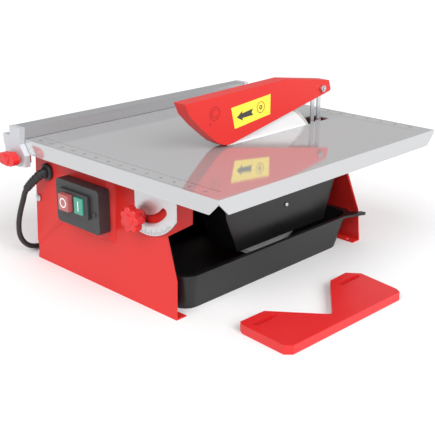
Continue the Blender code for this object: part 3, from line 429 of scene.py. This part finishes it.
def shaded(mesh, degrees=SHARP_ANGLE):
    """Smooth shading, with edges steeper than the angle kept sharp."""
    work = bmesh.new()
    work.from_mesh(mesh)
    limit = math.radians(degrees)
    for face in work.faces:
        face.smooth = True
    for edge in work.edges:
        edge.smooth = len(edge.link_faces) == 2 and edge.calc_face_angle(0.0) < limit
    work.to_mesh(mesh)
    work.free()


def new_piece(name, mesh, material, body):
    mesh.materials.clear()
    mesh.materials.append(material)
    made = bpy.data.objects.new(name, mesh)
    bpy.context.scene.collection.objects.link(made)
    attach(made, body)
    return made


def baked(made):
    """The object's mesh with its modifiers applied."""
    bpy.context.view_layer.update()
    view = made.evaluated_get(bpy.context.evaluated_depsgraph_get())
    mesh = bpy.data.meshes.new_from_object(view)
    made.modifiers.clear()
    made.data = mesh
    return mesh


def clean_copy(node):
    """The node's mesh with its flat faces joined into whole polygons."""
    mesh = NODES[node].data.copy()
    work = bmesh.new()
    work.from_mesh(mesh)
    bmesh.ops.remove_doubles(work, verts=work.verts, dist=WELD)
    bmesh.ops.dissolve_limit(work, angle_limit=math.radians(SAME_PLANE), verts=work.verts, edges=work.edges)
    work.to_mesh(mesh)
    work.free()
    mesh.name = node + "_fine"
    return mesh


def rounded(node, width, material):
    """A copy of the node whose edges are rounded, standing for it."""
    made = new_piece(node + "_fine", clean_copy(node), material, BODY_OF[node])
    change = made.modifiers.new("edges", "BEVEL")
    change.width = width
    change.segments = BEVEL_SEGMENTS
    change.limit_method = "ANGLE"
    change.angle_limit = math.radians(BEVEL_ANGLE)
    change.use_clamp_overlap = True
    change.miter_outer = "MITER_ARC"
    shaded(baked(made))
    flat = made.modifiers.new("normals", "WEIGHTED_NORMAL")
    flat.keep_sharp = True
    flat.weight = 100
    baked(made)
    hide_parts(node)


# ---------------------------------------------------------------- shapes added in the scene


def slab(outline, axis, low, high):
    """A flat plate: outline in the other two axes, in X, Y, Z order."""
    count = len(outline)
    spots = []
    for depth in (low, high):
        for a, b in outline:
            point = [a, b]
            point.insert("XYZ".index(axis), depth)
            spots.append(tuple(point))
    faces = [tuple(range(count)), tuple(range(2 * count - 1, count - 1, -1))]
    faces += [(i, (i + 1) % count, count + (i + 1) % count, count + i) for i in range(count)]
    return spots, faces


def mesh_of(name, shapes):
    """One mesh holding several closed shapes."""
    work = bmesh.new()
    for spots, faces in shapes:
        verts = [work.verts.new(p) for p in spots]
        for face in faces:
            work.faces.new([verts[i] for i in face])
    bmesh.ops.recalc_face_normals(work, faces=work.faces)
    mesh = bpy.data.meshes.new(name)
    work.to_mesh(mesh)
    work.free()
    return mesh


def ring_band(centre, inner, outer, axis, low, high, start=0.0, end=360.0, count=40):
    """A flat ring, or a part of one, as a plate. centre is in the other two axes."""
    whole = end - start >= 360.0
    steps = [math.radians(start + (end - start) * i / count) for i in range(count + (0 if whole else 1))]
    spots = []
    for depth in (low, high):
        for reach in (inner, outer):
            for angle in steps:
                point = [centre[0] + reach * math.cos(angle), centre[1] + reach * math.sin(angle)]
                point.insert("XYZ".index(axis), depth)
                spots.append(tuple(point))
    n = len(steps)
    faces = []
    pairs = [(i, (i + 1) % n) for i in range(n if whole else n - 1)]
    for i, j in pairs:
        faces += [
            (i, j, n + j, n + i), (2 * n + i, 3 * n + i, 3 * n + j, 2 * n + j),
            (i, 2 * n + i, 2 * n + j, j), (n + i, n + j, 3 * n + j, 3 * n + i),
        ]
    if not whole:
        faces += [(0, n, 3 * n, 2 * n), (n - 1, 2 * n - 1, 4 * n - 1, 3 * n - 1)]
    return spots, faces


SUNK = 0.0001           # how far a mark reaches into the face that carries it
FILM = 0.0002           # thickness of a printed film


def build_guard_marks(look):
    """The direction sticker and the moulded marks on the guard's right side; the moulded rings and dot are
    coloured a darker red, which is painted shade.
    """
    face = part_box("guard")[1].x
    corners = [(-0.0390, 0.1970), (0.0250, 0.2030), (0.0250, 0.1800), (-0.0330, 0.1730)]
    sticker = mesh_of("sticker", [slab(corners, "X", face - SUNK, face + FILM)])
    new_piece("sticker", sticker, look["yellow_ink"], "guard")

    along = (Vector(corners[1]) - Vector(corners[0])).normalized()
    up = Vector((-along.y, along.x))
    middle = Vector((-0.0150, 0.1865))

    def at(u, v):
        return tuple(middle + along * u + up * v)

    arrow = [
        at(-0.0150, 0.0), at(-0.0060, 0.0055), at(-0.0066, 0.0026), at(0.0110, 0.0036),
        at(0.0085, 0.0), at(0.0110, -0.0036), at(-0.0066, -0.0026), at(-0.0060, -0.0055),
    ]
    circle_at = at(0.0240, 0.0018)
    marks = [
        slab(arrow, "X", face + FILM, face + 2 * FILM),
        ring_band(circle_at, 0.0058, 0.0064, "X", face + FILM, face + 2 * FILM),
        ring_band(circle_at, 0.0012, 0.0024, "X", face + FILM, face + 2 * FILM, count=20),
    ]
    new_piece("sticker_marks", mesh_of("sticker_marks", marks), look["black_ink"], "guard")

    nose = (-0.0640, 0.1950)
    proud = 0.0003
    # painted shade: the raised rings take the darker red_shade colour, which stands for the shading round the
    # moulding
    raised = [
        ring_band(nose, 0.0068, 0.0074, "X", face - SUNK, face + proud),
        ring_band(nose, 0.0038, 0.0044, "X", face - SUNK, face + proud, 60.0, 320.0),
    ]
    new_piece("guard_emblem", mesh_of("guard_emblem", raised), look["red_shade"], "guard")
    # painted shade: the dot is a thin darker red film that stands for the shade in the moulded dot
    dot_at, half_wide, half_tall, sides = (-0.0705, 0.1843), 0.0011, 0.0014, 16
    turns = [2 * math.pi * i / sides for i in range(sides)]
    dot = [(dot_at[0] + half_wide * math.cos(a), dot_at[1] + half_tall * math.sin(a)) for a in turns]
    dot_mesh = mesh_of("guard_dot", [slab(dot, "X", face - SUNK, face + FILM)])
    new_piece("guard_dot", dot_mesh, look["red_shade"], "guard")


def build_button_marks(look):
    """A ring on the off button and a bar on the on button."""
    low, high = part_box("off_button")
    middle = ((low.x + high.x) / 2, (low.z + high.z) / 2)
    ring = ring_band(middle, 0.0042, 0.0056, "Y", low.y - FILM, low.y + SUNK, count=32)
    new_piece("off_mark", mesh_of("off_mark", [ring]), look["white_ink"], "off_button")
    low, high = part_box("on_button")
    middle = ((low.x + high.x) / 2, (low.z + high.z) / 2)
    half_wide, half_tall = 0.0007, 0.0055
    corners = ((-1, -1), (1, -1), (1, 1), (-1, 1))
    bar = [(middle[0] + half_wide * a, middle[1] + half_tall * b) for a, b in corners]
    mark = mesh_of("on_mark", [slab(bar, "Y", low.y - FILM, low.y + SUNK)])
    new_piece("on_mark", mark, look["white_ink"], "on_button")


def lettering(name, marks, height, material, body):
    """Numbers lying on a level face, one for each (text, point) in marks."""
    work = bmesh.new()
    for text, place in marks:
        curve = bpy.data.curves.new(name, "FONT")
        curve.body = text
        curve.size = height
        curve.extrude = 0.00006
        curve.resolution_u = 2
        curve.align_x = "CENTER"
        curve.align_y = "CENTER"
        made = bpy.data.objects.new(name, curve)
        bpy.context.scene.collection.objects.link(made)
        bpy.context.view_layer.update()
        view = made.evaluated_get(bpy.context.evaluated_depsgraph_get())
        mesh = bpy.data.meshes.new_from_object(view)
        mesh.transform(Matrix.Translation(place))
        work.from_mesh(mesh)
        bpy.data.objects.remove(made)
    bmesh.ops.remove_doubles(work, verts=work.verts, dist=1e-7)
    mesh = bpy.data.meshes.new(name)
    work.to_mesh(mesh)
    work.free()
    new_piece(name, mesh, material, body)


def build_rule_numbers(look):
    """Centimetres from the blade, along the front and rear edges of the table."""
    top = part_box("table_top")[1].z
    centimetre = 0.010
    away = RULE_NEAR + 0.0095
    marks = []
    for side in (-1, 1):
        for step in range(-16, 12, 2):
            marks.append((str(abs(step)), Vector((BLADE_X + step * centimetre, side * away, top))))
    lettering("rule_numbers", marks, 0.0062, look["grey_ink"], "table")


# ---------------------------------------------------------------- cord

CORD_DIAMETER = 0.0065
CORD_RADIUS = CORD_DIAMETER / 2
CORD_FLOOR = CORD_RADIUS + 0.0002
COIL_CENTRE = (-0.232, 0.030)
COIL_RADII = (0.0340, 0.0405)       # centre lines of the two columns of turns
COIL_PLACES = [(1, 0), (0, 0), (0, 1), (1, 1), (0, 2), (1, 2)]      # column and layer of each turn
COIL_STEPS = 18                     # points in one turn
COIL_MOVE = 40.0                    # degrees that a turn takes to move to its next place
COIL_FIRST_MOVE = 320.0             # degrees at which the first turn starts to move
COIL_NEXT_MOVE = 300.0              # degrees from each move to the next
PANEL_FACE = -0.1600
GLAND = Vector((-0.1275, -0.1605, 0.1155))
RELIEF_TIP = Vector((-0.1495, -0.1763, 0.0935))
CORD_ROUTE = [
    (-0.1474, -0.1752, 0.0956), (-0.1501, -0.1767, 0.0920), (-0.1568, -0.1776, 0.0780),
    (-0.1629, -0.1778, 0.0651), (-0.1681, -0.1776, 0.0530), (-0.1727, -0.1763, 0.0408),
    (-0.1769, -0.1732, 0.0288), (-0.1802, -0.1672, 0.0178), (-0.1826, -0.1581, 0.0090),
    (-0.1838, -0.1466, 0.0044), (-0.1848, -0.1341, CORD_FLOOR), (-0.1860, -0.1087, CORD_FLOOR),
    (-0.1869, -0.0833, CORD_FLOOR), (-0.1885, -0.0579, CORD_FLOOR), (-0.1904, -0.0326, CORD_FLOOR),
    (-0.1913, -0.0100, CORD_FLOOR), (-0.1915, 0.0100, CORD_FLOOR),
]
TAIL_ROUTE = [
    (-0.1915, 0.0450, 0.0165), (-0.1915, 0.0560, 0.0164), (-0.1914, 0.0670, 0.0155),
    (-0.1910, 0.0780, 0.0125), (-0.1903, 0.0900, 0.0077), (-0.1896, 0.1020, 0.0047),
    (-0.1891, 0.1140, 0.0052), (-0.1890, 0.1270, 0.0085),
]


def coil_points():
    """Six turns in two columns and three layers; each turn moves to its next place a little before the last."""
    points = []
    for step in range(len(COIL_PLACES) * COIL_STEPS):
        degrees = 360.0 * step / COIL_STEPS
        column, layer = COIL_PLACES[0]
        start = COIL_FIRST_MOVE
        for before, after in zip(COIL_PLACES, COIL_PLACES[1:]):
            share = min(1.0, max(0.0, (degrees - start) / COIL_MOVE))
            share = share * share * (3.0 - 2.0 * share)
            column += (after[0] - before[0]) * share
            layer += (after[1] - before[1]) * share
            start += COIL_NEXT_MOVE
        radius = COIL_RADII[0] + (COIL_RADII[1] - COIL_RADII[0]) * column
        angle = math.radians(degrees)
        points.append((
            COIL_CENTRE[0] + radius * math.cos(angle),
            COIL_CENTRE[1] + radius * math.sin(angle),
            CORD_FLOOR + CORD_DIAMETER * layer,
        ))
    points.append((COIL_CENTRE[0] + COIL_RADII[1], COIL_CENTRE[1], CORD_FLOOR + 2 * CORD_DIAMETER))
    return points


def build_cord(look):
    """The mains lead: one smooth curve from the strain relief through the coil to the plug."""
    points = [*CORD_ROUTE, *coil_points(), *TAIL_ROUTE]
    curve = bpy.data.curves.new("mains_lead", "CURVE")
    curve.dimensions = "3D"
    curve.bevel_depth = CORD_RADIUS
    curve.bevel_resolution = 3
    curve.resolution_u = 4
    curve.use_fill_caps = True
    spline = curve.splines.new("BEZIER")
    spline.bezier_points.add(len(points) - 1)
    for target, point in zip(spline.bezier_points, points):
        target.co = point
        target.handle_left_type = "AUTO"
        target.handle_right_type = "AUTO"
    curve.materials.append(look["cord_rubber"])
    lead = bpy.data.objects.new("mains_lead", curve)
    bpy.context.scene.collection.objects.link(lead)
    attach(lead, "base")
    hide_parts("power_cord", "cord_coil", "cord_tail")
    bpy.context.view_layer.update()


def smooth_path(path, between=6):
    """Points of a Catmull-Rom curve through path."""
    ends = [2 * path[0] - path[1], *path, 2 * path[-1] - path[-2]]
    fine = []
    for a, b, c, d in zip(ends, ends[1:], ends[2:], ends[3:]):
        for i in range(between):
            t = i / between
            fine.append(0.5 * ((2 * b) + (c - a) * t + (2 * a - 5 * b + 4 * c - d) * t ** 2
                               + (3 * b - a - 3 * c + d) * t ** 3))
    fine.append(path[-1])
    return fine


def rows_of_faces(rows, sides, closed=False):
    """Quads between rows of points, each row a ring of sides points."""
    faces = []
    for i in range(rows if closed else rows - 1):
        j = (i + 1) % rows
        for k in range(sides):
            m = (k + 1) % sides
            faces.append((i * sides + k, i * sides + m, j * sides + m, j * sides + k))
    return faces


def relief_taper(fine):
    """Round tube along the curve that narrows to the cord, with ribs and a plain collar at its tip."""
    sides, thick, thin, tip, rib = 20, 0.0062, 0.0046, 0.0042, 0.0006
    ribs_from, ribs_to = 0.35, 0.97
    last = len(fine) - 1
    spots = []
    for i, point in enumerate(fine):
        along = fine[min(last, i + 1)] - fine[max(0, i - 1)]
        turn = along.to_track_quat("Z", "Y").to_matrix()
        share = i / last
        radius = thick - (thick - thin) * share
        if ribs_from < share < ribs_to and i % 4 in (2, 3):
            radius -= rib
        if share >= ribs_to:
            radius = tip
        for k in range(sides):
            angle = 2 * math.pi * k / sides
            spots.append(point + turn @ Vector((radius * math.cos(angle), radius * math.sin(angle), 0.0)))
    faces = rows_of_faces(len(fine), sides)
    faces.append(tuple(range(sides - 1, -1, -1)))
    faces.append(tuple(range(last * sides, len(fine) * sides)))
    return spots, faces


def relief_collar():
    """Grommet in the front panel's hole: a ring turned about Y."""
    sides = 32
    profile = [
        (0.0100, 0.0058), (-0.0003, 0.0058), (-0.0003, 0.0095), (-0.0012, 0.0101),
        (-0.0028, 0.0099), (-0.0040, 0.0088), (-0.0046, 0.0070), (-0.0040, 0.0058),
    ]
    spots = []
    for back, reach in profile:
        for k in range(sides):
            angle = 2 * math.pi * k / sides
            x, z = GLAND.x + reach * math.cos(angle), GLAND.z + reach * math.sin(angle)
            spots.append((x, PANEL_FACE + back, z))
    return spots, rows_of_faces(len(profile), sides, closed=True)


def build_relief(look):
    """Grommet and tapered, ribbed strain relief that bends from the panel down to the cord."""
    path = [
        GLAND + Vector((0.0, 0.0020, 0.0)), GLAND, Vector((-0.1282, -0.1650, 0.1150)),
        Vector((-0.1312, -0.1692, 0.1125)), Vector((-0.1358, -0.1718, 0.1080)),
        Vector((-0.1405, -0.1737, 0.1032)), Vector((-0.1450, -0.1751, 0.0984)), RELIEF_TIP,
    ]
    mesh = mesh_of("strain_relief", [relief_taper(smooth_path(path)), relief_collar()])
    shaded(mesh, 40)
    relief = new_piece("strain_relief", mesh, look["cord_rubber"], "base")
    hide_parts("cord_gland")


# ---------------------------------------------------------------- the whole scene

EDGE_WIDTHS = {
    "guard": 0.0006, "corner_guide": 0.0009, "water_tray": 0.0007, "table_top": 0.0007,
    "front_panel": 0.0004, "rear_panel": 0.0004, "left_panel": 0.0003, "blade": 0.0003,
    "switch_plate": 0.0010, "switch_module": 0.0006, "off_button": 0.0005, "on_button": 0.0005,
    "tilt_knob_front": 0.0007, "tilt_knob_rear": 0.0007, "fence_knob_front": 0.0007,
    "fence_knob_rear": 0.0007, "plug": 0.0006, "riving_knife": 0.0003, "fence_rail": 0.0004,
    "fence_bracket_front": 0.0006, "fence_bracket_rear": 0.0006,
}
COMMON_EDGE = 0.0003


def build_looks():
    return {
        "red_paint": red_paint(), "red_plastic": red_plastic(), "table_steel": table_steel(),
        "zinc_steel": zinc_steel(), "quadrant": quadrant_steel(), "fence_aluminium": fence_aluminium(),
        "bracket": bracket_grey(), "blade": blade_steel(), "blade_steel": ground_steel(),
        "black_plastic": black_plastic(), "tray_plastic": tray_plastic(), "cord_rubber": cord_rubber(),
        "green_button": button("green_button", (0.040, 0.30, 0.21)),
        "red_button": button("red_button", (0.42, 0.10, 0.10)),
        "motor_paint": motor_paint(), "copper_winding": copper_winding(),
        "capacitor_white": capacitor_white(),
        "yellow_ink": ink("yellow_ink", (0.95, 0.72, 0.06)),
        "black_ink": ink("black_ink", (0.045, 0.045, 0.045)),
        "white_ink": ink("white_ink", (0.80, 0.80, 0.80)),
        "grey_ink": ink("grey_ink", (0.10, 0.10, 0.11)),
        # painted shade: darker red standing for the shading on the guard's moulded rings and dot
        "red_shade": ink("red_shade", (0.33, 0.010, 0.010)),
    }


SPECIAL = {
    "quadrant_front": "quadrant", "quadrant_rear": "quadrant", "fence_bracket_front": "bracket",
    "fence_bracket_rear": "bracket", "blade": "blade",
}


def main():
    build_camera()
    build_studio()
    looks = build_looks()
    slots = {part["node"]: part["material_slot"] for part in frame["record"]["subparts"]}
    drawn = {"power_cord", "cord_coil", "cord_tail", "cord_gland"}
    for node in sorted(NODES):
        if node in drawn:
            continue
        slot = slots[node]
        material = looks[SPECIAL.get(node, slot)]
        rounded(node, EDGE_WIDTHS.get(node, COMMON_EDGE), material)
    build_relief(looks)
    build_cord(looks)
    build_guard_marks(looks)
    build_button_marks(looks)
    build_rule_numbers(looks)
    for node, obj in NODES.items():
        obj.data.materials.clear()
        obj.data.materials.append(looks[SPECIAL.get(node, slots[node])])


main()
